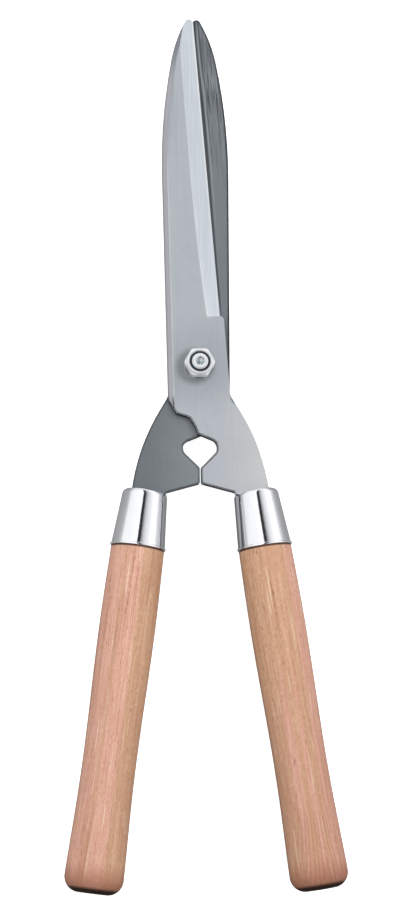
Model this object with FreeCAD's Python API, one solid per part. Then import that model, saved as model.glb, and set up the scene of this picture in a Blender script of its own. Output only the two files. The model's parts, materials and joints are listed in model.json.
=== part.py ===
import FreeCAD, Part
import math
import os

# Hedge shears, about 540 mm long, lying flat with the nut up.
# Units are millimetres. +Y points to the blade tips, +Z up through the pivot nut,
# +X to the right. The origin is under the middle of the tool's length, on its
# symmetry line, level with the lowest point of the handles.
# Both halves share one outline. The rear half is the front half turned over about
# the tool's long axis, so every shape is drawn once, as the front (upper) half:
# blade tip slightly left of the symmetry line, handle to the right.

# ---- layout ----
PIVOT_Y = 43.2             # pivot axis ahead of the middle of the tool
MATING_Z = 13.8            # height of the plane where the two blades slide
BLADE_GAP = 0.1            # running clearance between the two blades' inner faces
BLADE_T = 3.5              # blade steel thickness
HANDLE_SPLAY = 8.0         # angle of each handle from the long axis, degrees

# ---- blade outline, measured from the pivot ----
SPINE_X = 19.0             # spine offset beside the pivot
SPINE_HEEL_Y = -22.5       # where the spine ends behind the pivot
SPINE_BELLY = (-20.9, 122.5)
SPINE_SHOULDER = (-14.1, 200.3)
SPINE_NOSE = (-4.7, 227.0)
TIP_TOP = (-2.5, 228.5)
EDGE_TIP = (0.2, 226.5)
EDGE_HEEL = (13.7, 32.5)
RICASSO_TOP = (16.0, 29.1)
FLARE_START = (18.9, -19.0)
FLARE_JOIN = (24.0, -27.5)
FLARE_MID = (35.0, -50.5)

# ---- bevel grind ----
BEVEL_LAND = 0.35          # blunt land left at the cutting edge
BEVEL_WIDTHS = ((30.9, 8.1), (78.5, 10.1), (132.5, 10.8), (182.5, 10.6), (234.5, 9.2))
SPINE_CHAMFER_TOP = 3.0    # chamfer width on the outer face
SPINE_CHAMFER_SIDE = 1.1   # chamfer depth on the spine

# ---- tang, notch and stops ----
JOGGLE_START_Y = -45.0     # where the steel starts to bend back to the middle plane
JOGGLE_END_Y = -59.0
NOTCH_R = 5.2
NOTCH_CENTRE = (5.15, -51.5)
NOTCH_ROOF_DEG = 68.0      # direction from the notch centre to the roof tangent point
NOTCH_FLOOR_DEG = -45.0    # direction from the notch centre to the floor tangent point
STOP_HALF_GAP_DEG = 0.33   # each stop face is this far from the closed position
STOP_TOP_Y = -63.7
STOP_FOOT_Y = -72.8
TANG_FOOT = (20.9, -79.1)  # inner corner where the tang meets the ferrule
WAVE = ((-14.4, -30.5, 2.0), (-6.4, -32.8, 4.5), (-3.1, -38.5, 4.0))

# ---- tang inside the ferrule and the wood, along the handle axis ----
CAP_ORIGIN = (33.4, -77.7)  # centre of the ferrule's closed end
SHOULDER_DEPTH = 3.0        # how far the wide tang sinks into the slot
TANG_OUTER_U = 8.2          # wide tang's outer side, across the handle axis
SPIKE_HALF_TOP = 5.0
SPIKE_HALF_END = 2.4
SPIKE_END_V = 112.0
SPIKE_POINT = 7.0
SPIKE_FIT = 0.12            # gap between the spike and its hole in the wood

# ---- pivot hardware, M10 ----
SHANK_R = 5.0
BORE_R = 5.05              # round hole in the front blade, running on the shank
NECK_SIDE = 10.0           # square neck under the bolt head
NECK_FIT = 0.1
HEAD_R = 10.0
HEAD_H = 4.0
HEAD_CROWN = 1.2
THREAD_R = 4.9
BOLT_END_Z = 13.9          # above the mating plane
BOLT_CHAMFER = 0.9
DIMPLE_R = 2.9
DIMPLE_DEPTH = 0.5
WASHER_R = 9.0
WASHER_T = 1.6
WASHER_LIFT = 0.05         # running clearance over the front blade
NUT_AF = 16.8
NUT_CORNER_R = 3.0
NUT_HEX_H = 6.2
NUT_H = 8.2
NUT_COLLAR_R = 8.1
NUT_CROWN_R = 0.9
NUT_WASHER_FACE_R = 8.0
NUT_LIP = 0.8
INSERT_R = 6.7
INSERT_H = 2.4
INSERT_FIT = 0.05

# ---- ferrule: a drawn, tapered oval cap ----
FERRULE_L = 35.3
CAP_HALF_W = 13.4
CAP_HALF_D = 11.6
RIM_HALF_W = 16.3
RIM_HALF_D = 13.5
CAP_SIDE_R = 8.0
RIM_SIDE_R = 10.0
CAP_EDGE_R = 3.4
FERRULE_WALL = 1.0
RIM_BEAD_H = 1.6
RIM_BEAD = 0.45
RIM_BEAD_R = 0.55
SLOT_FIT = 0.15

# ---- handle: distance along the axis, half width, half depth, side radius ----
HANDLE_SECTIONS = (
    (35.7, 16.0, 13.2, 10.0),
    (70.0, 16.6, 13.5, 10.5),
    (150.0, 15.8, 13.0, 10.3),
    (190.0, 16.1, 13.2, 10.5),
    (223.0, 17.1, 13.6, 11.2),
    (238.3, 17.3, 13.6, 11.3),
)
BUTT_R = 9.0
TENON_START_V = 3.2
TENON_FIT = 0.1


def vec(x, y, z=0.0):
    return FreeCAD.Vector(x, y, z)


def unit(a, b):
    """Unit vector in the plane from point a to point b."""
    length = math.hypot(b[0] - a[0], b[1] - a[1])
    return ((b[0] - a[0]) / length, (b[1] - a[1]) / length)


def line(a, b):
    return Part.LineSegment(vec(*a), vec(*b)).toShape()


def arc(a, mid, b):
    return Part.Arc(vec(*a), vec(*mid), vec(*b)).toShape()


def polar(centre, radius, degrees):
    angle = math.radians(degrees)
    return (centre[0] + radius * math.cos(angle), centre[1] + radius * math.sin(angle))


def tangent_arc(a, direction, b):
    """Arc from a to b that leaves a along the given unit direction."""
    chord = unit(a, b)
    span = math.hypot(b[0] - a[0], b[1] - a[1])
    turn = math.atan2(
        direction[0] * chord[1] - direction[1] * chord[0],
        direction[0] * chord[0] + direction[1] * chord[1],
    )
    rise = 0.5 * span * math.tan(0.5 * turn)
    mid = (
        0.5 * (a[0] + b[0]) + rise * chord[1],
        0.5 * (a[1] + b[1]) - rise * chord[0],
    )
    leaving = (
        chord[0] * math.cos(turn) - chord[1] * math.sin(turn),
        chord[0] * math.sin(turn) + chord[1] * math.cos(turn),
    )
    return arc(a, mid, b), leaving


def rounded_path(points):
    """Edges through (x, y, radius) corners, each corner rounded by its radius."""
    edges = []
    start = points[0][:2]
    for before, corner, after in zip(points, points[1:], points[2:]):
        back = unit(corner, before)
        ahead = unit(corner, after)
        half = 0.5 * math.acos(back[0] * ahead[0] + back[1] * ahead[1])
        if corner[2] == 0:
            edges.append(line(start, corner[:2]))
            start = corner[:2]
            continue
        reach = corner[2] / math.tan(half)
        enter = (corner[0] + back[0] * reach, corner[1] + back[1] * reach)
        leave = (corner[0] + ahead[0] * reach, corner[1] + ahead[1] * reach)
        bisector = (back[0] + ahead[0], back[1] + ahead[1])
        size = math.hypot(bisector[0], bisector[1])
        inset = corner[2] / math.sin(half) - corner[2]
        mid = (corner[0] + bisector[0] / size * inset, corner[1] + bisector[1] / size * inset)
        edges.append(line(start, enter))
        edges.append(arc(enter, mid, leave))
        start = leave
    edges.append(line(start, points[-1][:2]))
    return edges


# ---- handle axis frame: u across (outwards), v along (towards the butt) ----
SPLAY = math.radians(HANDLE_SPLAY)
AXIS = (math.sin(SPLAY), -math.cos(SPLAY))
ACROSS = (math.cos(SPLAY), math.sin(SPLAY))


def on_handle(u, v):
    """Plane point at u across and v along the handle axis."""
    return (
        CAP_ORIGIN[0] + u * ACROSS[0] + v * AXIS[0],
        CAP_ORIGIN[1] + u * ACROSS[1] + v * AXIS[1],
    )


def oval_wire(v, half_w, half_d, side_r):
    """Oval section across the handle axis, made of four tangent arcs."""
    side_u = half_w - side_r
    drop = (side_u ** 2 - (half_d - side_r) ** 2) / (2.0 * (half_d - side_r))
    big_r = half_d + drop
    lean = math.atan2(side_u, drop)
    join_u = big_r * math.sin(lean)
    join_w = big_r * math.cos(lean) - drop

    def place(u, w):
        x, y = on_handle(u, v)
        return vec(x, y, w)

    corners = [place(join_u, -join_w), place(join_u, join_w), place(-join_u, join_w), place(-join_u, -join_w)]
    mids = [place(half_w, 0), place(0, half_d), place(-half_w, 0), place(0, -half_d)]
    edges = []
    for index in range(4):
        edges.append(Part.Arc(corners[index], mids[index], corners[(index + 1) % 4]).toShape())
    return Part.Wire(edges)


def oval_loft(sections):
    return Part.makeLoft([oval_wire(*section) for section in sections], True, False)


def prism(edges, z_low, height):
    face = Part.Face(Part.Wire(Part.__sortEdges__(edges)))
    solid = face.extrude(vec(0, 0, height))
    solid.translate(vec(0, 0, z_low))
    return solid


def blade_outline():
    """Blade, shoulder and wide tang, from the tip round to the tip again."""
    heel = (-SPINE_X, SPINE_HEEL_Y)
    spine = line(heel, SPINE_BELLY)
    belly, leaving = tangent_arc(SPINE_BELLY, unit(heel, SPINE_BELLY), SPINE_SHOULDER)
    nose = tangent_arc(SPINE_SHOULDER, leaving, SPINE_NOSE)[0]
    tip = arc(SPINE_NOSE, TIP_TOP, EDGE_TIP)
    tang_side_top = on_handle(TANG_OUTER_U, 0.8)
    edge_side = rounded_path([
        EDGE_TIP + (0,),
        EDGE_HEEL + (1.0,),
        RICASSO_TOP + (1.5,),
        FLARE_START + (8.0,),
        FLARE_JOIN + (0,),
    ])
    flare = arc(FLARE_JOIN, FLARE_MID, tang_side_top)
    stop_lean = math.tan(math.radians(STOP_HALF_GAP_DEG))
    roof = polar(NOTCH_CENTRE, NOTCH_R, NOTCH_ROOF_DEG)
    floor = polar(NOTCH_CENTRE, NOTCH_R, NOTCH_FLOOR_DEG)
    roof_corner = (-1.3, roof[1] + (roof[0] + 1.3) / math.tan(math.radians(NOTCH_ROOF_DEG)))
    spike_top = on_handle(SPIKE_HALF_TOP, SHOULDER_DEPTH)
    tang = rounded_path([
        tang_side_top + (0,),
        on_handle(TANG_OUTER_U, SHOULDER_DEPTH) + (0.6,),
        spike_top + (0,),
        on_handle(SPIKE_HALF_END, SPIKE_END_V - SPIKE_POINT) + (0,),
        on_handle(0.4, SPIKE_END_V) + (0,),
        on_handle(-0.4, SPIKE_END_V) + (0,),
        on_handle(-SPIKE_HALF_END, SPIKE_END_V - SPIKE_POINT) + (0,),
        on_handle(-SPIKE_HALF_TOP, SHOULDER_DEPTH) + (0,),
        on_handle(-12.2, SHOULDER_DEPTH) + (0.6,),
        TANG_FOOT + (0.8,),
        (-stop_lean * STOP_FOOT_Y + 0.6, STOP_FOOT_Y - 0.9, 1.0),
        (-stop_lean * STOP_FOOT_Y, STOP_FOOT_Y, 0.4),
        (-stop_lean * STOP_TOP_Y, STOP_TOP_Y, 1.5),
        floor + (0,),
    ])
    bay = arc(floor, polar(NOTCH_CENTRE, NOTCH_R, 0.5 * (NOTCH_ROOF_DEG + NOTCH_FLOOR_DEG)), roof)
    wave = rounded_path([
        roof + (0,),
        roof_corner + (0.8,),
        WAVE[2],
        WAVE[1],
        WAVE[0],
        heel + (0,),
    ])
    return [spine, belly, nose, tip] + edge_side + [flare] + tang + [bay] + wave


def steel_layer():
    """Side profile of the bent steel, extruded right across the blade."""
    low = BLADE_GAP / 2.0
    top = low + BLADE_T
    sunk = -BLADE_T / 2.0
    reach = 120.0
    bend = 5.0
    profile = rounded_path([
        (240.0, low, 0),
        (JOGGLE_START_Y, low, bend + BLADE_T),
        (JOGGLE_END_Y, sunk, bend),
        (-235.0, sunk, 0),
        (-235.0, sunk + BLADE_T, 0),
        (JOGGLE_END_Y, sunk + BLADE_T, bend + BLADE_T),
        (JOGGLE_START_Y, top, bend),
        (240.0, top, 0),
    ])
    profile.append(line((240.0, top), (240.0, low)))
    plate = Part.Face(Part.Wire(Part.__sortEdges__(profile))).extrude(vec(0, 0, 2.0 * reach))
    plate.translate(vec(0, 0, -reach))
    plate.rotate(vec(0, 0, 0), vec(0, 0, 1), 90)
    plate.rotate(vec(0, 0, 0), vec(0, 1, 0), 90)
    return plate


def bevel_cutter():
    """Wedge that grinds the outer face down to the cutting edge."""
    top = BLADE_GAP / 2.0 + BLADE_T
    land = BLADE_GAP / 2.0 + BEVEL_LAND
    slope_x = (EDGE_TIP[0] - EDGE_HEEL[0]) / (EDGE_TIP[1] - EDGE_HEEL[1])
    sections = []
    for y, width in BEVEL_WIDTHS:
        edge_x = EDGE_HEEL[0] + (y - EDGE_HEEL[1]) * slope_x
        drop = (top - land) / width
        ridge = vec(edge_x - width - 1.0, y, top + drop)
        outside = vec(edge_x + 8.0, y, land - 8.0 * drop)
        above = vec(edge_x + 8.0, y, top + drop)
        sections.append(Part.makePolygon([ridge, outside, above, ridge]))
    return Part.makeLoft(sections, True, False)


def spine_edges(solid):
    """Edges of the outer face that run along the spine."""
    top = BLADE_GAP / 2.0 + BLADE_T
    found = []
    for edge in solid.Edges:
        box = edge.BoundBox
        flat = box.ZMin > top - 0.01 and box.ZMax < top + 0.01
        if flat and box.XMax < -2.0 and box.YMin > SPINE_HEEL_Y - 0.1:
            found.append(edge)
    return found


def make_blade(hole):
    """One blade, with the pivot hole shape cut through it."""
    blade = prism(blade_outline(), -10.0, 20.0).common(steel_layer())
    if blade.ShapeType != "Solid":
        blade = blade.Solids[0]
    blade = blade.makeChamfer(SPINE_CHAMFER_SIDE, SPINE_CHAMFER_TOP, spine_edges(blade))
    blade = blade.cut(bevel_cutter())
    blade = blade.cut(hole)
    return blade.Solids[0]


def make_ferrule():
    """Drawn cap with a slot for the tang, open at the wood end."""
    grow_w = (RIM_HALF_W - CAP_HALF_W) / FERRULE_L
    grow_d = (RIM_HALF_D - CAP_HALF_D) / FERRULE_L
    bead_v = FERRULE_L - RIM_BEAD_H
    body = oval_loft([
        (0.0, CAP_HALF_W, CAP_HALF_D, CAP_SIDE_R),
        (bead_v, CAP_HALF_W + grow_w * bead_v, CAP_HALF_D + grow_d * bead_v, RIM_SIDE_R),
    ])
    end_edges = [edge for edge in body.Edges if abs(handle_v(edge.BoundBox.Center)) < 0.5]
    body = body.makeFillet(CAP_EDGE_R, end_edges)
    bead = oval_loft([
        (bead_v, RIM_HALF_W + RIM_BEAD, RIM_HALF_D + RIM_BEAD, RIM_SIDE_R),
        (FERRULE_L, RIM_HALF_W + RIM_BEAD, RIM_HALF_D + RIM_BEAD, RIM_SIDE_R),
    ])
    bead = bead.makeFillet(RIM_BEAD_R, [edge for edge in bead.Edges if is_ring(edge)])
    hollow = inner_loft(FERRULE_WALL, FERRULE_WALL, FERRULE_L + 0.5)
    slot = tang_slot(-5.0, SHOULDER_DEPTH + 2.0 * SLOT_FIT)
    return body.fuse(bead).cut(hollow).cut(slot).removeSplitter().Solids[0]


def handle_v(point):
    """Distance of a point along the handle axis from the ferrule's end."""
    return (point.x - CAP_ORIGIN[0]) * AXIS[0] + (point.y - CAP_ORIGIN[1]) * AXIS[1]


def is_ring(edge):
    """True for an edge that lies in one plane across the handle axis."""
    values = [handle_v(vertex.Point) for vertex in edge.Vertexes]
    return max(values) - min(values) < 0.01


def inner_loft(wall, v_start, v_end):
    """Tapered oval that follows the ferrule's outside, inset by a wall."""
    grow_w = (RIM_HALF_W - CAP_HALF_W) / FERRULE_L
    grow_d = (RIM_HALF_D - CAP_HALF_D) / FERRULE_L
    ends = []
    for v, side_r in ((v_start, CAP_SIDE_R), (v_end, RIM_SIDE_R)):
        ends.append((v, CAP_HALF_W + grow_w * v - wall, CAP_HALF_D + grow_d * v - wall, side_r - wall))
    core = oval_loft(ends)
    end_edges = [edge for edge in core.Edges if abs(handle_v(edge.BoundBox.Center) - v_start) < 0.5]
    return core.makeFillet(CAP_EDGE_R - FERRULE_WALL, end_edges)


def tang_slot(v_start, v_end):
    """Slot through the ferrule's closed end, as wide as the wide tang."""
    inner_u = -14.2
    outer_u = TANG_OUTER_U + SLOT_FIT
    edges = [
        line(on_handle(inner_u, v_start), on_handle(outer_u, v_start)),
        line(on_handle(outer_u, v_start), on_handle(outer_u, v_end)),
        line(on_handle(outer_u, v_end), on_handle(inner_u, v_end)),
        line(on_handle(inner_u, v_end), on_handle(inner_u, v_start)),
    ]
    height = BLADE_T + 2.0 * SLOT_FIT
    return prism(edges, -height / 2.0, height)


def make_handle():
    """Wooden handle with a tenon inside the ferrule and a hole for the spike."""
    grip = oval_loft(HANDLE_SECTIONS)
    butt_v = HANDLE_SECTIONS[-1][0]
    butt_edges = [edge for edge in grip.Edges if abs(handle_v(edge.BoundBox.Center) - butt_v) < 0.5]
    grip = grip.makeFillet(BUTT_R, butt_edges)
    tenon = inner_loft(FERRULE_WALL + TENON_FIT, FERRULE_WALL + TENON_FIT, HANDLE_SECTIONS[0][0] + 1.0)
    front = prism([
        line(on_handle(-30, TENON_START_V), on_handle(30, TENON_START_V)),
        line(on_handle(30, TENON_START_V), on_handle(30, -10)),
        line(on_handle(30, -10), on_handle(-30, -10)),
        line(on_handle(-30, -10), on_handle(-30, TENON_START_V)),
    ], -30, 60)
    wood = grip.fuse(tenon).cut(front).removeSplitter()
    half_top = SPIKE_HALF_TOP + SPIKE_FIT
    half_end = SPIKE_HALF_END + SPIKE_FIT
    hole_end = SPIKE_END_V + 1.0
    edges = [
        line(on_handle(-half_top, 0), on_handle(half_top, 0)),
        line(on_handle(half_top, 0), on_handle(half_end, hole_end)),
        line(on_handle(half_end, hole_end), on_handle(-half_end, hole_end)),
        line(on_handle(-half_end, hole_end), on_handle(-half_top, 0)),
    ]
    height = BLADE_T + 2.0 * SPIKE_FIT
    return wood.cut(prism(edges, -height / 2.0, height)).Solids[0]


def cylinder(radius, z_low, z_high):
    return Part.makeCylinder(radius, z_high - z_low, vec(0, 0, z_low), vec(0, 0, 1))


def cone(r_low, r_high, z_low, z_high):
    return Part.makeCone(r_low, r_high, z_high - z_low, vec(0, 0, z_low), vec(0, 0, 1))


def square_post(side, z_low, z_high):
    return Part.makeBox(side, side, z_high - z_low, vec(-side / 2.0, -side / 2.0, z_low))


REAR_FACE = -(BLADE_GAP / 2.0 + BLADE_T)
FRONT_FACE = BLADE_GAP / 2.0 + BLADE_T
WASHER_Z = FRONT_FACE + WASHER_LIFT
NUT_Z = WASHER_Z + WASHER_T


def make_bolt():
    """Pivot bolt: crowned head, square neck, round shank, chamfered end."""
    rim_h = HEAD_H - HEAD_CROWN
    crown_r = (HEAD_R ** 2 + HEAD_CROWN ** 2) / (2.0 * HEAD_CROWN)
    head = cylinder(HEAD_R, REAR_FACE - rim_h, REAR_FACE)
    ball = Part.makeSphere(crown_r, vec(0, 0, REAR_FACE - HEAD_H + crown_r))
    crown = ball.common(cylinder(HEAD_R, REAR_FACE - HEAD_H - 1.0, REAR_FACE - rim_h))
    head = head.fuse(crown).removeSplitter()
    rim = [edge for edge in head.Edges if abs(edge.BoundBox.ZMax - (REAR_FACE - rim_h)) < 0.01]
    head = head.makeFillet(0.8, rim)
    neck = square_post(NECK_SIDE, REAR_FACE, -BLADE_GAP)
    neck = neck.common(cylinder(NECK_SIDE * 0.62, REAR_FACE, -BLADE_GAP))
    shank = cylinder(SHANK_R, -BLADE_GAP, NUT_Z - 0.3)
    relief = cone(SHANK_R, THREAD_R, NUT_Z - 0.3, NUT_Z - 0.2)
    thread = cylinder(THREAD_R, NUT_Z - 0.2, BOLT_END_Z - BOLT_CHAMFER)
    end = cone(THREAD_R, THREAD_R - BOLT_CHAMFER, BOLT_END_Z - BOLT_CHAMFER, BOLT_END_Z)
    dimple = cone(DIMPLE_R - 0.5, DIMPLE_R, BOLT_END_Z - DIMPLE_DEPTH, BOLT_END_Z)
    bolt = head.fuse([neck, shank, relief, thread, end]).cut(dimple)
    return bolt.removeSplitter().Solids[0]


def make_washer():
    ring = cylinder(WASHER_R, WASHER_Z, WASHER_Z + WASHER_T)
    ring = ring.cut(cylinder(SHANK_R + 0.25, WASHER_Z - 1.0, WASHER_Z + WASHER_T + 1.0))
    outer = [edge for edge in ring.Edges if abs(edge.BoundBox.XMax - WASHER_R) < 0.01]
    outer = [edge for edge in outer if edge.BoundBox.ZLength < 0.01]
    return ring.makeFillet(0.3, outer)


def make_nut():
    """Round-cornered hexagon lock nut, flats across Y, with a collar and a crimped lip."""
    corner = NUT_AF / math.sqrt(3.0)
    points = [polar((0, 0), corner, 60 * index) for index in range(7)]
    hexagon = prism([line(a, b) for a, b in zip(points, points[1:])], NUT_Z, NUT_HEX_H)
    corners = [edge for edge in hexagon.Edges if edge.BoundBox.ZLength > NUT_HEX_H / 2.0]
    hexagon = hexagon.makeFillet(NUT_CORNER_R, corners)
    spread = NUT_HEX_H / math.tan(math.radians(30))
    nut_top = NUT_Z + NUT_HEX_H
    top_cone = cone(NUT_COLLAR_R + spread, NUT_COLLAR_R, NUT_Z, nut_top)
    base_cone = cone(NUT_WASHER_FACE_R, NUT_WASHER_FACE_R + spread, NUT_Z, nut_top)
    body = hexagon.common(top_cone).common(base_cone)
    collar = cylinder(NUT_COLLAR_R, NUT_Z + 1.0, NUT_Z + NUT_H)
    rim = [edge for edge in collar.Edges if edge.BoundBox.ZMin > NUT_Z + NUT_H - 0.01]
    collar = collar.makeFillet(NUT_CROWN_R, rim)
    nut = body.fuse(collar).removeSplitter()
    nut = nut.cut(cylinder(THREAD_R + INSERT_FIT, NUT_Z - 1.0, NUT_Z + NUT_H + 1.0))
    seat_low = NUT_Z + NUT_H - NUT_LIP - INSERT_H
    nut = nut.cut(cylinder(INSERT_R, seat_low, seat_low + INSERT_H))
    nut = nut.cut(cone(INSERT_R - 0.3, INSERT_R + 0.3, seat_low + INSERT_H, NUT_Z + NUT_H + 0.01))
    return nut.Solids[0]


def make_insert():
    """Nylon ring held inside the nut's collar."""
    low = NUT_Z + NUT_H - NUT_LIP - INSERT_H + 0.02
    ring = cylinder(INSERT_R - INSERT_FIT, low, low + INSERT_H - 0.04)
    ring = ring.cut(cylinder(THREAD_R + INSERT_FIT, low - 1.0, low + INSERT_H + 1.0))
    return ring


def turned_over(shape):
    """The same piece for the rear half, turned about the tool's long axis."""
    copy = shape.copy()
    copy.rotate(vec(0, 0, 0), vec(0, 1, 0), 180)
    return copy


def export(name, shape):
    placed = shape.copy()
    placed.translate(vec(0, PIVOT_Y, MATING_Z))
    placed.exportStep("parts/" + name + ".step")
    box = placed.BoundBox
    print(
        "%-16s valid %s  solids %d  x %.2f..%.2f  y %.2f..%.2f  z %.2f..%.2f  volume %.0f"
        % (name, placed.isValid(), len(placed.Solids), box.XMin, box.XMax,
           box.YMin, box.YMax, box.ZMin, box.ZMax, placed.Volume)
    )


os.makedirs("parts", exist_ok=True)
round_hole = cylinder(BORE_R, -20, 20)
square_hole = square_post(NECK_SIDE + 2.0 * NECK_FIT, -20, 20)
ferrule = make_ferrule()
handle = make_handle()
export("front_blade", make_blade(round_hole))
export("rear_blade", turned_over(make_blade(square_hole)))
export("right_ferrule", ferrule)
export("left_ferrule", turned_over(ferrule))
export("right_handle", handle)
export("left_handle", turned_over(handle))
export("pivot_bolt", make_bolt())
export("nut_washer", make_washer())
export("lock_nut", make_nut())
export("lock_nut_insert", make_insert())
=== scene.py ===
import bpy
import json
import math
from mathutils import Matrix, Vector

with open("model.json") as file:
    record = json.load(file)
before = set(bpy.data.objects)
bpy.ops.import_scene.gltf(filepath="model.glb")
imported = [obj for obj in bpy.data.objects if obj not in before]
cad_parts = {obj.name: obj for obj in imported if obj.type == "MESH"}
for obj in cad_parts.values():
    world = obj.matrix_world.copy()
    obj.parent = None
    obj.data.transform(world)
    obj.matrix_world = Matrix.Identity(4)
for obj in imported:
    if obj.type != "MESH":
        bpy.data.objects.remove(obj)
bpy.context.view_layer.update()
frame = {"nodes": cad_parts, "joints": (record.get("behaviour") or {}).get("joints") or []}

nodes = frame["nodes"]
PIVOT = Vector(frame["joints"][0]["pos_m"])
MM = 0.001
SPLAY = math.radians(8.0)        # how far each handle leans away from the long axis


# ---------------------------------------------------------------- node helpers
class Graph:
    """A small wrapper that makes shader nodes in one line each."""

    def __init__(self, tree):
        self.tree = tree

    def node(self, kind, **settings):
        made = self.tree.nodes.new(kind)
        for key, value in settings.items():
            setattr(made, key, value)
        return made

    def link(self, value, socket):
        """Connects a socket to another, or sets a number, vector or colour on it."""
        if isinstance(value, bpy.types.NodeSocket):
            self.tree.links.new(value, socket)
        else:
            socket.default_value = value

    def math(self, operation, a, b=None, clamp=False):
        made = self.node("ShaderNodeMath", operation=operation, use_clamp=clamp)
        self.link(a, made.inputs[0])
        if b is not None:
            self.link(b, made.inputs[1])
        return made.outputs[0]

    def add(self, a, b, clamp=False):
        return self.math("ADD", a, b, clamp)

    def sub(self, a, b, clamp=False):
        return self.math("SUBTRACT", a, b, clamp)

    def mul(self, a, b):
        return self.math("MULTIPLY", a, b)

    def size(self, value):
        return self.math("ABSOLUTE", value)

    def swing(self, noise, span):
        """A noise from 0 to 1 as a shift either way, span from end to end."""
        return self.mul(self.sub(noise, 0.5), span)

    def vector(self, operation, a, b=None):
        made = self.node("ShaderNodeVectorMath", operation=operation)
        self.link(a, made.inputs[0])
        if b is not None:
            self.link(b, made.inputs[1])
        single = operation in ("LENGTH", "DOT_PRODUCT")
        return made.outputs["Value" if single else "Vector"]

    def dot(self, a, b):
        return self.vector("DOT_PRODUCT", a, b)

    def split(self, vector):
        made = self.node("ShaderNodeSeparateXYZ")
        self.link(vector, made.inputs[0])
        return made.outputs[0], made.outputs[1], made.outputs[2]

    def join(self, x, y, z):
        made = self.node("ShaderNodeCombineXYZ")
        for index, value in enumerate((x, y, z)):
            self.link(value, made.inputs[index])
        return made.outputs[0]

    def radius(self, x, y):
        """How far a point in plan is from the origin."""
        return self.vector("LENGTH", self.join(x, y, 0.0))

    def place(self, vector, location=(0, 0, 0), rotation=(0, 0, 0), scale=(1, 1, 1)):
        made = self.node("ShaderNodeMapping")
        self.link(vector, made.inputs["Vector"])
        made.inputs["Location"].default_value = location
        made.inputs["Rotation"].default_value = rotation
        made.inputs["Scale"].default_value = scale
        return made.outputs[0]

    def noise(self, vector, scale, detail=2.0, rough=0.5):
        made = self.node("ShaderNodeTexNoise")
        self.link(vector, made.inputs["Vector"])
        made.inputs["Scale"].default_value = scale
        made.inputs["Detail"].default_value = detail
        made.inputs["Roughness"].default_value = rough
        return made.outputs[0]

    def grain(self, vector, squeeze, scale, detail=2.0, rough=0.5, location=(0, 0, 0)):
        """Noise drawn out along Y: the smaller squeeze is, the longer its streaks are."""
        return self.noise(self.place(vector, location, scale=(1.0, squeeze, 1.0)),
                          scale, detail, rough)

    def smooth(self, value, low, high, out_low=0.0, out_high=1.0):
        """An eased step from out_low at low to out_high at high; low may be the larger."""
        made = self.node("ShaderNodeMapRange", interpolation_type="SMOOTHSTEP")
        self.link(value, made.inputs["Value"])
        for name, number in (("From Min", low), ("From Max", high),
                             ("To Min", out_low), ("To Max", out_high)):
            self.link(number, made.inputs[name])
        return made.outputs[0]

    def mix(self, factor, a, b):
        made = self.node("ShaderNodeMix", data_type="RGBA", blend_type="MIX")
        self.link(factor, made.inputs[0])
        self.link(a, made.inputs[6])
        self.link(b, made.inputs[7])
        return made.outputs[2]

    def tint(self, base, mask, amount, color):
        """base with amount of a colour laid over it where mask is 1."""
        return self.mix(self.mul(mask, amount), base, color)

    def ramp(self, factor, levels):
        """A grey ramp through (position, level) stops."""
        made = self.node("ShaderNodeValToRGB")
        self.link(factor, made.inputs[0])
        elements = made.color_ramp.elements
        while len(elements) < len(levels):
            elements.new(0.5)
        for element, (position, level) in zip(elements, levels):
            element.position = position
            element.color = grey(level)
        return made.outputs[0]

    def edge(self, radius):
        """0 on open faces, rising to about 0.3 on a square edge."""
        made = self.node("ShaderNodeBevel", samples=6)
        made.inputs["Radius"].default_value = radius
        flat = self.node("ShaderNodeNewGeometry").outputs["Normal"]
        return self.sub(1.0, self.dot(made.outputs[0], flat))

    def bump(self, height, strength, distance):
        made = self.node("ShaderNodeBump")
        made.inputs["Strength"].default_value = strength
        made.inputs["Distance"].default_value = distance
        self.link(height, made.inputs["Height"])
        return made.outputs[0]


def grey(level):
    return (level, level, level, 1.0)


def linear(red, green, blue):
    """Linear colour from 0-255 display values."""
    def one(value):
        value /= 255.0
        return value / 12.92 if value <= 0.04045 else ((value + 0.055) / 1.055) ** 2.4
    return (one(red), one(green), one(blue), 1.0)


def palette(**colors):
    """Linear colours by name, from 0-255 display values."""
    return {name: linear(*color) for name, color in colors.items()}


def new_material(name):
    material = bpy.data.materials.new(name)
    material.use_nodes = True
    material.node_tree.nodes.clear()
    g = Graph(material.node_tree)
    shader = g.node("ShaderNodeBsdfPrincipled")
    output = g.node("ShaderNodeOutputMaterial")
    g.link(shader.outputs[0], output.inputs["Surface"])
    return material, g, shader


def surface(g, shader, base, rough, bump, metallic=0.0):
    """Puts a colour, a roughness and a bumped normal on a shader."""
    g.link(base, shader.inputs["Base Color"])
    g.link(rough, shader.inputs["Roughness"])
    g.link(bump, shader.inputs["Normal"])
    shader.inputs["Metallic"].default_value = metallic


# ---------------------------------------------------------------- blade steel
STEEL = palette(
    satin=(213, 219, 226), satin_pale=(219, 224, 231), mottle=(196, 202, 210),
    streak=(196, 202, 209), scuff=(170, 176, 186), tang_rim=(240, 241, 240),
    grease=(112, 117, 122), handled=(160, 168, 172), ground=(204, 211, 218),
    ground_pale=(214, 220, 227), chamfer=(180, 181, 187), chamfer_tip=(140, 146, 153),
    ridge_tip=(190, 195, 203), bright=(255, 255, 255), outline=(136, 130, 134),
    inboard_rim=(26, 28, 32),
    inner=(147, 153, 159), inner_pale=(155, 161, 167), inner_tang=(130, 136, 142),
    tang_middle=(172, 178, 183), dim=(104, 108, 114), stroke=(84, 88, 93),
    glint=(196, 201, 205), rub=(88, 92, 98), polish=(186, 192, 197),
    second_rub=(92, 96, 102), spine_tang=(84, 86, 92), spine=(30, 32, 36),
    wall=(56, 58, 62), wall_inboard=(26, 28, 32), heel=(140, 145, 151),
)
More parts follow.
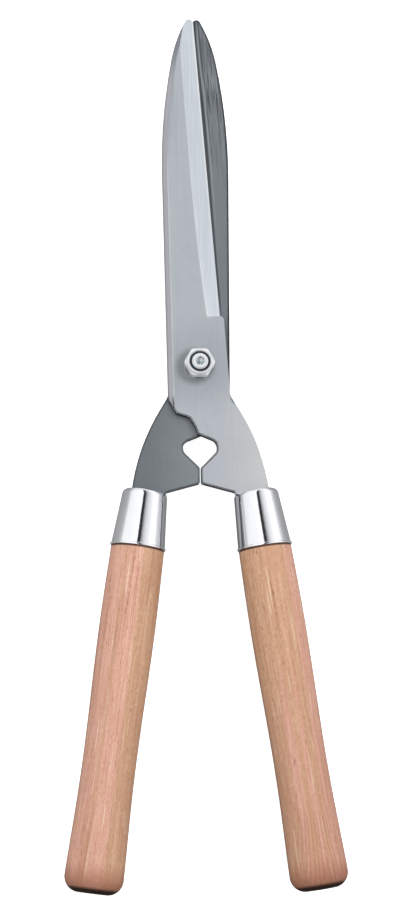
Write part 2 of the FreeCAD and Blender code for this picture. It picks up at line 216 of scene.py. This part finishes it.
# The front blade's cutting edge at rest, as X and Y from the pivot.
EDGE_TIP = (0.2 * MM, 226.5 * MM)
EDGE_HEEL = (13.7 * MM, 32.5 * MM)
EDGE_SLOPE = (EDGE_HEEL[0] - EDGE_TIP[0]) / (EDGE_TIP[1] - EDGE_HEEL[1])
# How far the middle of the painted shadow of the nut lies from the bolt, to the left and
# towards the handles.
GREASE_SHIFT = (2.8 * MM, 1.0 * MM)
GREASE = (0.0136, 0.0084)        # its outer and inner radius
HANDLED = (0.036, 0.014)         # and those of the fainter darkening round the pivot
# Steps along a blade, in metres from the pivot towards the tip.
TANG = (0.0, -0.03)              # from the blade to the tang
STREAKED = (0.110, 0.205)        # where the grinding streaks come in
TIP = (0.188, 0.202)             # where they fade again, at the very tip
RUB_WIDENS = (0.060, 0.150)      # where the painted shadow along the other edge grows
RUB_NARROWS = (0.175, 0.205)     # and narrows again
# Steps in a normal's Z for a flat face, and in its X for a bevel or a chamfer.
FLAT = (0.2, 0.5)
SLOPED = (0.10, 0.16)
STROKE_LEAN = 0.06               # radians between the inner face's streaks and the long axis


class Blade:
    """The masks and textures of one blade, in metres from the pivot.

    side is +1 where +Z is the bevelled outer face and -1 where -Z is."""

    def __init__(self, g, side):
        self.side = side
        coords = g.node("ShaderNodeTexCoord")
        self.place = g.vector("SUBTRACT", coords.outputs["Object"], PIVOT)
        self.x, self.y, _ = g.split(self.place)
        nx, self.ny, nz = g.split(coords.outputs["Normal"])
        facing = g.mul(nz, side)
        across = g.mul(nx, side)
        self.outer = g.smooth(facing, *FLAT)
        self.inner = g.smooth(g.mul(facing, -1.0), *FLAT)
        self.wall = g.sub(1.0, g.add(self.outer, self.inner, clamp=True), clamp=True)
        self.bevel = g.mul(self.outer, g.smooth(across, *SLOPED))
        self.chamfer = g.mul(self.outer, g.smooth(g.mul(across, -1.0), *SLOPED))
        self.edge = g.edge(2.2 * MM)

        self.grind = g.grain(self.place, 0.012, 1500.0, 3.0, 0.6)
        self.streak = g.grain(self.place, 0.03, 420.0)
        self.mottle = g.noise(self.place, 90.0, 4.0, 0.6)
        self.cloud = g.grain(self.place, 0.4, 16.0)
        self.fine = g.noise(self.place, 1700.0, 2.0, 0.6)

        self.toward_tip = g.smooth(self.y, *STREAKED)
        self.tang = g.smooth(self.y, *TANG)
        self.outward = g.mul(self.x, side)
        self.inboard = g.mul(g.smooth(self.outward, 0.022, 0.020),
                             g.smooth(self.y, -0.018, -0.024))
        self.edge_x = g.add(EDGE_TIP[0], g.mul(g.sub(EDGE_TIP[1], self.y), EDGE_SLOPE))


def outer_face(g, blade):
    """Even satin with a painted shadow of the nut beside the washer, a ground bevel, a
    chamfer and painted highlights along the edge and the ridge.
    """
    y, edge = blade.y, blade.edge
    base = g.mix(g.smooth(blade.cloud, 0.35, 0.65), STEEL["satin"], STEEL["satin_pale"])
    base = g.tint(base, g.smooth(blade.mottle, 0.45, 0.8), 0.35, STEEL["mottle"])
    base = g.tint(base, g.smooth(blade.streak, 0.45, 0.75), 0.25, STEEL["streak"])
    scuff = g.mul(g.smooth(blade.streak, 0.42, 0.60), g.mul(blade.toward_tip, 0.50))
    base = g.mix(scuff, base, STEEL["scuff"])
    tang_rim = g.mul(g.smooth(blade.outward, 0.006, 0.042), blade.tang)
    base = g.tint(base, tang_rim, 0.75, STEEL["tang_rim"])

    wobble = g.swing(blade.cloud, 4 * MM)
    # Painted shadow of the nut: a dark patch round the washer, heavier to the left and
    # towards the handles.
    off_axis = g.radius(g.add(blade.x, GREASE_SHIFT[0]), g.add(y, GREASE_SHIFT[1]))
    grease = g.smooth(g.add(off_axis, wobble), *GREASE)
    base = g.tint(base, grease, 0.58, STEEL["grease"])
    # A broader, fainter darkening round the pivot.
    handled = g.smooth(g.add(g.radius(blade.x, y), wobble), *HANDLED)
    base = g.tint(base, handled, 0.22, STEEL["handled"])

    ground = g.mix(g.smooth(blade.grind, 0.35, 0.65), STEEL["ground"], STEEL["ground_pale"])
    base = g.mix(blade.bevel, base, ground)
    chamfer = g.mix(g.smooth(y, 0.180, 0.212), STEEL["chamfer"], STEEL["chamfer_tip"])
    base = g.mix(blade.chamfer, base, chamfer)

    # Painted highlights: a white line along the whetted edge, and a bright line on the ridge
    # where the bevel meets the flat, greyer towards the tip.
    behind_edge = g.sub(blade.edge_x, blade.outward)
    keen = g.mul(blade.bevel, g.smooth(behind_edge, 0.0013, 0.0006))
    keen = g.mul(keen, g.smooth(y, 0.060, 0.150, 0.1, 0.5))
    base = g.mix(keen, base, STEEL["bright"])
    ridge = g.mul(g.smooth(edge, 0.0040, 0.0090), g.smooth(behind_edge, 0.0045, 0.0060))
    ridge = g.mul(ridge, g.smooth(edge, 0.035, 0.018))
    ridge = g.mul(g.mul(ridge, blade.outer), g.sub(1.0, blade.chamfer, clamp=True))
    ridge = g.mul(ridge, g.smooth(y, 0.170, 0.110, 0.55, 0.95))
    ridge_color = g.mix(g.smooth(y, 0.150, 0.120), STEEL["ridge_tip"], STEEL["bright"])
    base = g.mix(ridge, base, ridge_color)

    # Dark rims: the chamfer's outer edge, and a painted shadow line along the notch side of
    # the tang.
    outline = g.mul(blade.chamfer, g.smooth(edge, 0.017, 0.032))
    base = g.tint(base, outline, 0.8, STEEL["outline"])
    # Painted shadow line along the notch side of the tang.
    inboard_rim = g.mul(blade.inboard, g.smooth(edge, 0.001, 0.008))
    return g.tint(base, inboard_rim, 0.92, STEEL["inboard_rim"])


def inner_face(g, blade):
    """Ground steel painted darker than the outer face as painted shade, streaked towards the
    tip, with a painted shadow and a painted reflection along the other blade's edge.
    """
    y = blade.y
    # The inner face is painted darker than the outer face of the same steel: painted shade.
    shade = g.mix(g.smooth(blade.cloud, 0.3, 0.7), STEEL["inner"], STEEL["inner_pale"])
    shade = g.tint(shade, blade.tang, 0.5, STEEL["inner_tang"])
    tang_middle = g.mul(g.smooth(g.size(blade.x), 0.034, 0.004), blade.tang)
    shade = g.tint(shade, tang_middle, 0.6, STEEL["tang_middle"])
    shade = g.mix(g.smooth(y, *TIP, 0.0, 0.22), shade, STEEL["dim"])

    leaning = g.place(blade.place, rotation=(0, 0, blade.side * STROKE_LEAN))
    streaked = g.mul(blade.toward_tip, g.smooth(y, *TIP, 1.0, 0.42))
    strokes = g.smooth(g.grain(leaning, 0.022, 1250.0, 2.0, 0.6), 0.48, 0.58)
    strokes = g.mul(strokes, g.add(0.05, g.mul(streaked, 0.90)))
    shade = g.mix(strokes, shade, STEEL["stroke"])
    glints = g.grain(leaning, 0.022, 1350.0, 2.0, 0.6, location=(3, 0, 0))
    glints = g.mul(g.smooth(glints, 0.55, 0.63), g.mul(streaked, 0.65))
    shade = g.mix(glints, shade, STEEL["glint"])

    # beyond is how far inside the other blade's cutting edge a point lies at rest.
    beyond = g.sub(g.mul(blade.x, -blade.side), blade.edge_x)
    along_edge = g.mul(g.smooth(y, 0.02, 0.05), g.smooth(y, 0.226, 0.215))
    rub_width = g.sub(g.smooth(y, *RUB_WIDENS, 1.5 * MM, 2.2 * MM),
                      g.smooth(y, *RUB_NARROWS, 0.0, 1.0 * MM))
    past_rub = g.sub(beyond, rub_width)
    # Painted shadow along the other blade's cutting edge, a painted reflection just past it,
    # and a second painted dark line beyond.
    rub = g.mul(g.smooth(past_rub, 0.0004, -0.0005), g.smooth(beyond, -0.0006, 0.0))
    shade = g.tint(shade, g.mul(rub, along_edge), 0.85, STEEL["rub"])
    polish = g.mul(g.smooth(past_rub, 0.0016, 0.0011), g.smooth(past_rub, 0.0002, 0.0007))
    polish = g.mul(polish, g.smooth(y, 0.070, 0.130))
    shade = g.tint(shade, polish, 0.55, STEEL["polish"])
    second = g.mul(g.smooth(past_rub, 0.0026, 0.0021), g.smooth(past_rub, 0.0012, 0.0016))
    shade = g.tint(shade, g.mul(second, blade.toward_tip), 0.6, STEEL["second_rub"])

    # Painted shade across the inner face beside the pivot, near the nut.
    beside_pivot = g.mul(g.smooth(y, 0.036, 0.008), g.smooth(y, -0.026, -0.014))
    shade = g.tint(shade, beside_pivot, 0.45, STEEL["dim"])

    # A dark line just inside the spine, wider and fainter on the tang.
    ahead = g.smooth(y, -0.015, 0.010)
    line_low = g.smooth(ahead, 0.0, 1.0, 0.0040, 0.0006)
    line_high = g.smooth(ahead, 0.0, 1.0, 0.0180, 0.0024)
    spine = g.smooth(blade.edge, line_low, line_high)
    spine = g.mul(spine, g.smooth(y, 0.215, 0.160, 0.6, 0.9))
    return g.mix(spine, shade, g.mix(ahead, STEEL["spine_tang"], STEEL["spine"]))


def cut_walls(g, blade):
    """Dark cut sides, painted darkest by the notch as a painted shadow line, with a lighter
    step at the heel of the bevel.
    """
    # Painted shade: the cut sides are painted darkest along the notch.
    color = g.mix(blade.inboard, STEEL["wall"], STEEL["wall_inboard"])
    heel = g.mul(g.smooth(g.size(blade.ny), 0.6, 0.9), g.smooth(blade.y, 0.015, 0.020))
    return g.mix(heel, color, STEEL["heel"])


def blade_material(name, side):
    material, g, shader = new_material(name)
    blade = Blade(g, side)
    base = g.mix(blade.inner, outer_face(g, blade), inner_face(g, blade))
    base = g.mix(blade.wall, base, cut_walls(g, blade))
    rough = g.sub(g.add(0.50, g.swing(blade.mottle, 0.14)), g.mul(blade.bevel, 0.10))
    lines = g.add(g.mul(blade.grind, 0.7), g.mul(blade.streak, 0.5))
    height = g.add(g.mul(lines, g.add(0.25, blade.bevel)), g.mul(blade.fine, 0.25))
    surface(g, shader, base, rough, g.bump(height, 0.35, 0.12 * MM), metallic=1.0)
    return material


# ---------------------------------------------------------------- ferrules
CHROME = palette(smear=(238, 240, 246), clean=(249, 250, 253), dull=(150, 151, 156))
# How dark the plating is painted, as painted shade and painted dark reflections, as the
# surface turns towards the other handle.
LEFT_DULLING = ((0.74, 0.0), (0.86, 0.45), (0.93, 0.8))
RIGHT_DULLING = ((0.72, 0.0), (0.76, 0.85), (0.80, 0.85), (0.84, 0.05), (0.90, 0.05),
                 (0.94, 0.95))


def chrome_material(name, inner, dulling):
    """Bright plated steel with faint drawing waves, and painted shade and painted dark
    reflections on the side that faces the other handle. inner is the X sign of that side."""
    material, g, shader = new_material(name)
    coords = g.node("ShaderNodeTexCoord")
    place = coords.outputs["Object"]
    smear = g.grain(place, 0.35, 90.0, 4.0, 0.6)
    base = g.mix(g.smooth(smear, 0.35, 0.7), CHROME["smear"], CHROME["clean"])
    inward = g.mul(g.split(coords.outputs["Normal"])[0], inner)
    # Painted shade and painted dark reflections on the side that faces the other handle.
    base = g.mix(g.ramp(inward, dulling), base, CHROME["dull"])
    rough = g.add(0.05, g.mul(g.smooth(smear, 0.45, 0.75), 0.07))
    scratch = g.noise(g.place(place, scale=(0.12, 1.0, 0.12)), 1500.0, 2.0, 0.6)
    height = g.add(g.noise(place, 45.0), g.mul(scratch, 0.06))
    surface(g, shader, base, rough, g.bump(height, 0.25, 0.3 * MM), metallic=1.0)
    return material


# ---------------------------------------------------------------- wooden handles
WOOD = palette(
    tan=(202, 158, 125), blush=(218, 166, 146), stripe=(186, 138, 108),
    stripe_pale=(232, 192, 165), line=(168, 114, 92), line_pale=(242, 208, 184),
    grain=(178, 128, 104), vein=(146, 90, 60), heart=(176, 124, 92), flake=(240, 216, 188),
    speckle=(172, 127, 104), speckle_pale=(242, 208, 186), pore=(104, 70, 56),
    worn=(176, 128, 108), ragged=(150, 92, 70), end=(38, 24, 20), rim=(62, 38, 30),
    flank=(124, 84, 72),
)
# Growth rings per metre across the handle: this many at the butt, and more per metre from it.
RINGS_AT_BUTT, RINGS_MORE = 300.0, 6500.0
RINGS_START = (0.050, 0.034)     # how far from the butt they come in
BLUSH_TILT = 11.0                # how fast the wood turns pinker outward, per metre


def reach(node, direction):
    """How far a node's furthest point lies along a direction."""
    return max(vert.co.dot(direction) for vert in nodes[node].data.vertices)


class Wood:
    """The textures of one handle, in its own frame: u across, v towards the butt, w up.

    lean is +1 for the handle that splays to +X and -1 for the other."""

    def __init__(self, g, handle, ferrule, lean, seed):
        self.lean = lean
        self.axis = Vector((lean * math.sin(SPLAY), -math.cos(SPLAY), 0.0))
        side = Vector((math.cos(SPLAY), lean * math.sin(SPLAY), 0.0))
        coords = g.node("ShaderNodeTexCoord")
        place, self.normal = coords.outputs["Object"], coords.outputs["Normal"]
        u, v, w = g.dot(place, side), g.dot(place, self.axis), g.split(place)[2]
        middle = (reach(handle, side) - reach(handle, -side)) / 2
        self.off_centre = g.sub(u, middle)
        self.from_butt = g.sub(reach(handle, self.axis), v)
        self.from_rim = g.sub(v, reach(ferrule, self.axis))
        offset = (seed * 0.37, seed * 0.71, seed * 0.13)
        self.local = local = g.place(g.join(u, v, w), location=offset)

        # Growth layers: long in v, and swaying a little across it.
        sway = g.swing(g.grain(local, 0.08, 26.0), 3 * MM)
        lu, lv, lw = g.split(local)
        layered = g.join(g.add(lu, sway), g.mul(lv, 0.015), g.add(lw, sway))
        self.broad = g.noise(layered, 85.0)
        self.stripe = g.noise(g.place(layered, location=(seed, 0, 0)), 380.0, 3.0, 0.6)
        self.line = g.grain(layered, 1.2, 1250.0, 2.0, 0.6, location=(0, 0, seed))
        self.grain = g.grain(local, 0.025, 1500.0, 3.0, 0.7)
        self.speckle = g.grain(local, 0.30, 1500.0, 1.0, 0.6)
        pore_field = g.grain(local, 0.08, 2400.0, 1.0, location=(5, 1, 2))
        pore_gate = g.smooth(self.stripe, 0.35, 0.70, 0.750, 0.660)
        self.pores = g.smooth(g.sub(pore_field, pore_gate), 0.0, 0.03)


def wood_figure(g, wood):
    """Tan and pinkish bands under stripes, lines, growth rings, flakes and pores."""
    lean, from_butt = wood.lean, wood.from_butt
    blush = g.add(wood.broad, g.mul(wood.off_centre, lean * BLUSH_TILT))
    blush = g.add(blush, g.smooth(from_butt, 0.170, 0.060, 0.0, 0.05 + 0.05 * lean))
    base = g.mix(g.smooth(blush, 0.455, 0.545), WOOD["tan"], WOOD["blush"])
    stripe, line = wood.stripe, wood.line
    base = g.tint(base, g.smooth(stripe, 0.54, 0.68), 0.36 - 0.08 * lean, WOOD["stripe"])
    base = g.tint(base, g.smooth(stripe, 0.46, 0.30), 0.28 - 0.10 * lean, WOOD["stripe_pale"])
    base = g.tint(base, g.smooth(line, 0.56, 0.64), 0.42, WOOD["line"])
    base = g.tint(base, g.smooth(line, 0.43, 0.36), 0.27 - 0.06 * lean, WOOD["line_pale"])
    base = g.tint(base, g.smooth(wood.grain, 0.50, 0.62), 0.26, WOOD["grain"])

    # Growth rings near the butt, fanned out from the handle's middle.
    rings = g.grain(wood.local, 0.22, 34.0, 1.0, 0.3, location=(5, 4, 6))
    crowding = g.add(RINGS_AT_BUTT, g.mul(from_butt, RINGS_MORE))
    ring_level = g.add(g.mul(wood.off_centre, crowding), g.mul(rings, 4.0))
    vein = g.size(g.sub(g.math("FRACT", ring_level), 0.5))
    gate = g.smooth(from_butt, *RINGS_START, 0.0, 0.32 + 0.32 * lean)
    gate = g.mul(gate, g.smooth(g.size(wood.off_centre), 0.013, 0.007, 0.25, 1.0))
    base = g.mix(g.mul(g.smooth(vein, 0.15, 0.04), gate), base, WOOD["vein"])

    heart = g.grain(wood.local, 0.05, 170.0, location=(9, 3, 1))
    base = g.tint(base, g.smooth(heart, 0.60, 0.68), 0.45, WOOD["heart"])
    flake = g.grain(wood.local, 0.03, 700.0, 1.0, location=(4, 8, 5))
    base = g.tint(base, g.smooth(flake, 0.69, 0.73), 0.6, WOOD["flake"])
    base = g.tint(base, g.smooth(wood.speckle, 0.48, 0.70), 0.24, WOOD["speckle"])
    base = g.tint(base, g.smooth(wood.speckle, 0.48, 0.30), 0.20, WOOD["speckle_pale"])
    return g.tint(base, wood.pores, 0.80, WOOD["pore"])


def wood_wear(g, wood, base):
    """Darkens the wood towards the butt, and paints shade on its end, over the rounding above
    it, along the ferrule's rim and down its flanks.
    """
    # Darker towards the butt.
    worn = g.smooth(wood.from_butt, 0.190, 0.020, 0.0, 0.24 + 0.08 * wood.lean)
    base = g.mix(worn, base, WOOD["worn"])
    # Painted shade over the rounding above the butt.
    ragged = g.add(wood.from_butt, g.swing(wood.stripe, 12 * MM))
    base = g.tint(base, g.smooth(ragged, 0.019, 0.006), 0.62, WOOD["ragged"])
    # Painted shadow on the end faces.
    end = g.smooth(g.dot(wood.normal, wood.axis), 0.54, 0.78, 0.0, 0.97)
    base = g.mix(end, base, WOOD["end"])
    # Painted shade along the ferrule's rim.
    base = g.tint(base, g.smooth(wood.from_rim, 0.0014, 0.0007), 0.85, WOOD["rim"])
    # Painted shade down the flanks.
    flank = g.smooth(g.size(g.split(wood.normal)[2]), 0.36, 0.08, 0.0, 0.42)
    return g.mix(flank, base, WOOD["flank"])


def wood_material(name, handle, ferrule, lean, seed):
    """Straight-grained sanded hardwood."""
    material, g, shader = new_material(name)
    wood = Wood(g, handle, ferrule, lean, seed)
    base = wood_wear(g, wood, wood_figure(g, wood))
    rough = g.add(0.48, g.mul(wood.grain, 0.16))
    height = g.add(g.mul(wood.grain, 0.5), g.mul(wood.pores, -1.0))
    height = g.add(height, g.mul(wood.stripe, 0.5))
    surface(g, shader, base, rough, g.bump(height, 0.35, 0.2 * MM))
    shader.inputs["Specular IOR Level"].default_value = 0.35
    return material


# ---------------------------------------------------------------- pivot hardware
ZINC = palette(plate=(243, 246, 250), plate_pale=(255, 255, 255), edge=(128, 136, 144),
               seam=(50, 56, 64), core=(112, 124, 134), core_pale=(196, 204, 208))
NYLON = palette(dark=(18, 22, 30), pale=(44, 52, 66))
SEAM_Z = 5.4 * MM                # where the nut sits on its washer, above the pivot
CORE_RADIUS = 3.0 * MM           # the dull spot on the bolt's end


def zinc_material(name, core_radius=0.0):
    """Bright zinc plate; a rough dull spot on the nut's side inside core_radius, if any."""
    material, g, shader = new_material(name)
    place = g.node("ShaderNodeTexCoord").outputs["Object"]
    patch = g.noise(place, 260.0, 4.0, 0.6)
    fine = g.noise(place, 1400.0, 3.0, 0.6)
    base = g.mix(g.smooth(patch, 0.35, 0.7), ZINC["plate"], ZINC["plate_pale"])
    rough = g.add(0.30, g.mul(patch, 0.12))
    height = g.add(g.mul(patch, 0.35), g.mul(fine, 0.15))
    x, y, z = g.split(g.vector("SUBTRACT", place, PIVOT))
    base = g.mix(g.smooth(g.edge(1.4 * MM), 0.004, 0.016, 0.0, 0.30), base, ZINC["edge"])
    # Painted shade in the crease where the nut sits on its washer.
    seam = g.smooth(g.size(g.sub(z, SEAM_Z)), 0.0006, 0.0002)
    base = g.tint(base, seam, 0.9, ZINC["seam"])
    if core_radius:
        wobble = g.swing(g.noise(place, 500.0), 1.4 * MM)
        core = g.smooth(g.add(g.radius(x, y), wobble), core_radius, core_radius * 0.85)
        core = g.mul(core, g.smooth(z, 0.0, 0.004))
        blotch = g.smooth(g.noise(place, 700.0, 3.0), 0.38, 0.62)
        base = g.mix(core, base, g.mix(blotch, ZINC["core"], ZINC["core_pale"]))
        rough = g.add(rough, g.mul(core, 0.2))
    surface(g, shader, base, rough, g.bump(height, 0.3, 0.2 * MM), metallic=0.36)
    return material


def nylon_material(name):
    """Dark, slightly cloudy nylon."""
    material, g, shader = new_material(name)
    place = g.node("ShaderNodeTexCoord").outputs["Object"]
    patch = g.noise(place, 500.0, 3.0, 0.6)
    base = g.mix(patch, NYLON["dark"], NYLON["pale"])
    rough = g.add(0.35, g.mul(patch, 0.2))
    surface(g, shader, base, rough, g.bump(g.noise(place, 1800.0), 0.2, 0.1 * MM))
    return material


def paint(node, material):
    mesh = nodes[node].data
    mesh.materials.clear()
    mesh.materials.append(material)


zinc = zinc_material("zinc_plate")
paint("front_blade", blade_material("blade_steel_front", 1))
paint("rear_blade", blade_material("blade_steel_rear", -1))
paint("left_ferrule", chrome_material("chrome_left", 1, LEFT_DULLING))
paint("right_ferrule", chrome_material("chrome_right", -1, RIGHT_DULLING))
paint("right_handle", wood_material("wood_right", "right_handle", "right_ferrule", 1, 3.1))
paint("left_handle", wood_material("wood_left", "left_handle", "left_ferrule", -1, 7.7))
paint("nut_washer", zinc)
paint("lock_nut", zinc)
paint("pivot_bolt", zinc_material("zinc_bolt_end", CORE_RADIUS))
paint("lock_nut_insert", nylon_material("nylon"))


# ---------------------------------------------------------------- studio
# Brightness of the studio by direction across the tool, in degrees from straight up
# towards +X. Two wide soft panels hang either side of a narrow dark gap along the tool.
STUDIO_BANDS = (
    (-180, 0.30), (-125, 0.36), (-95, 0.42), (-80, 0.55), (-70, 0.95), (-40, 1.05),
    (-6, 1.15), (-4, 0.04), (5, 0.03), (8, 0.22), (12, 0.42), (18, 0.66), (27, 0.86),
    (42, 1.05), (50, 1.25), (65, 1.25), (76, 0.80), (90, 0.48), (110, 0.36), (150, 0.36),
    (180, 0.30),
)
END_LEVEL = 0.85                 # beyond the two ends of the tool
END_FADE = (0.80, 0.97)          # in the Y of a direction
NEAR_END_LEVEL = 0.06            # low down past the handles, where the camera looks from
NEAR_END_LOW = (0.85, 1.35)      # in radians from straight up
NEAR_END_FADE = (-0.35, -0.6)    # in the Y of a direction
FLOOR_GLOW = 0.72
PAPER = palette(dim=(248, 248, 248), pale=(252, 252, 252))
# The paper sweep: flat floor, round bend and wall, in metres, well outside the tool.
FLOOR_RADIUS, BEND_RADIUS, WALL_HEIGHT = 3.5, 1.5, 6.0
SWEEP_SIDES, BEND_STEPS = 96, 8
SWEEP_DROP = 0.4 * MM            # below the CAD frame's zero, so the tool clears it


def sweep_mesh():
    """Paper floor that curves up into a round wall."""
    profile = [(FLOOR_RADIUS, 0.0)]
    for step in range(1, BEND_STEPS + 1):
        turn = math.pi / 2 * step / BEND_STEPS
        profile.append((FLOOR_RADIUS + BEND_RADIUS * math.sin(turn),
                        BEND_RADIUS * (1 - math.cos(turn))))
    profile.append((FLOOR_RADIUS + BEND_RADIUS, WALL_HEIGHT))
    turns = [math.tau * k / SWEEP_SIDES for k in range(SWEEP_SIDES)]
    verts = [(0.0, 0.0, 0.0)]
    for radius, z in profile:
        verts += [(radius * math.cos(turn), radius * math.sin(turn), z) for turn in turns]
    faces = [(0, 1 + k, 1 + (k + 1) % SWEEP_SIDES) for k in range(SWEEP_SIDES)]
    for row in range(len(profile) - 1):
        low = 1 + row * SWEEP_SIDES
        high = low + SWEEP_SIDES
        for k in range(SWEEP_SIDES):
            after = (k + 1) % SWEEP_SIDES
            faces.append((low + k, high + k, high + after, low + after))
    mesh = bpy.data.meshes.new("sweep")
    mesh.from_pydata(verts, [], faces)
    mesh.shade_smooth()
    return mesh


def paper_material(name):
    """Plain white paper that glows evenly, so its tone doesn't depend on the panels."""
    material, g, shader = new_material(name)
    grain = g.noise(g.node("ShaderNodeTexCoord").outputs["Object"], 40.0, 3.0)
    g.link(g.mix(grain, PAPER["dim"], PAPER["pale"]), shader.inputs["Base Color"])
    shader.inputs["Roughness"].default_value = 0.9
    shader.inputs["Specular IOR Level"].default_value = 0.1
    shader.inputs["Emission Color"].default_value = grey(1.0)
    shader.inputs["Emission Strength"].default_value = FLOOR_GLOW
    return material


def make_sweep():
    """The floor. Only the camera sees it: the studio bands light the tool instead."""
    mesh = sweep_mesh()
    mesh.materials.append(paper_material("sweep_paper"))
    sweep = bpy.data.objects.new("sweep", mesh)
    sweep.location.z = -SWEEP_DROP
    sweep.visible_glossy = False
    sweep.visible_diffuse = False
    sweep.visible_shadow = False
    bpy.context.scene.collection.objects.link(sweep)


def make_world():
    """Soft panels as bands along the tool, fading to an even tone at its two ends."""
    world = bpy.data.worlds.new("studio")
    bpy.context.scene.world = world
    world.use_nodes = True
    world.node_tree.nodes.clear()
    g = Graph(world.node_tree)
    x, y, z = g.split(g.node("ShaderNodeTexCoord").outputs["Generated"])
    turn = g.math("ARCTAN2", x, z)
    across = g.add(g.math("DIVIDE", turn, math.tau), 0.5)
    bands = g.ramp(across, [(0.5 + angle / 360.0, level) for angle, level in STUDIO_BANDS])
    color = g.mix(g.smooth(g.size(y), *END_FADE), bands, grey(END_LEVEL))
    lowness = g.math("ARCTAN2", g.mul(y, -1.0), z)
    near_end = g.mul(g.smooth(lowness, *NEAR_END_LOW), g.smooth(y, *NEAR_END_FADE))
    color = g.mix(near_end, color, grey(NEAR_END_LEVEL))
    shader = g.node("ShaderNodeBackground")
    g.link(color, shader.inputs["Color"])
    output = g.node("ShaderNodeOutputWorld")
    g.link(shader.outputs[0], output.inputs["Surface"])


KEY_PLACE = (0.15, 0.7, 1.6)
KEY_SIZE, KEY_POWER = 0.8, 12.0


def make_key_light():
    """A weak soft square light from beyond the tips, which adds no highlight of its own."""
    light = bpy.data.lights.new("key", "AREA")
    light.shape = "RECTANGLE"
    light.size = light.size_y = KEY_SIZE
    light.energy = KEY_POWER
    key = bpy.data.objects.new("key", light)
    key.location = KEY_PLACE
    key.rotation_mode = "QUATERNION"
    key.rotation_quaternion = (-key.location).to_track_quat("-Z", "Y")
    key.visible_camera = False
    key.visible_glossy = False
    bpy.context.scene.collection.objects.link(key)


# The camera, fitted to the outline in the photograph.
CAMERA_TILT = math.radians(12.0)     # from square on, towards the handles
CAMERA_SIDE = math.radians(5.0)      # and to the left
CAMERA_ROLL = math.radians(0.96)
CAMERA_DISTANCE = 1.1278
CAMERA_TARGET = Vector((0.00124, -0.01360, PIVOT.z))
LENS, SENSOR = 73.2, 36.0            # millimetres
CLIP = (0.05, 50.0)


def make_camera():
    back = Vector((-math.tan(CAMERA_SIDE), -math.tan(CAMERA_TILT), 1.0)).normalized()
    up = Vector((math.sin(CAMERA_ROLL), math.cos(CAMERA_ROLL), 0.0))
    right = up.cross(back).normalized()
    turn = Matrix((right, back.cross(right), back)).transposed()
    data = bpy.data.cameras.new("camera")
    data.lens = LENS
    data.sensor_width = SENSOR
    data.clip_start, data.clip_end = CLIP
    camera = bpy.data.objects.new("camera", data)
    position = CAMERA_TARGET + back * CAMERA_DISTANCE
    camera.matrix_world = Matrix.Translation(position) @ turn.to_4x4()
    bpy.context.scene.collection.objects.link(camera)
    bpy.context.scene.camera = camera


make_sweep()
make_world()
make_key_light()
make_camera()
bpy.context.scene.view_settings.view_transform = "Standard"
bpy.context.scene.view_settings.look = "None"
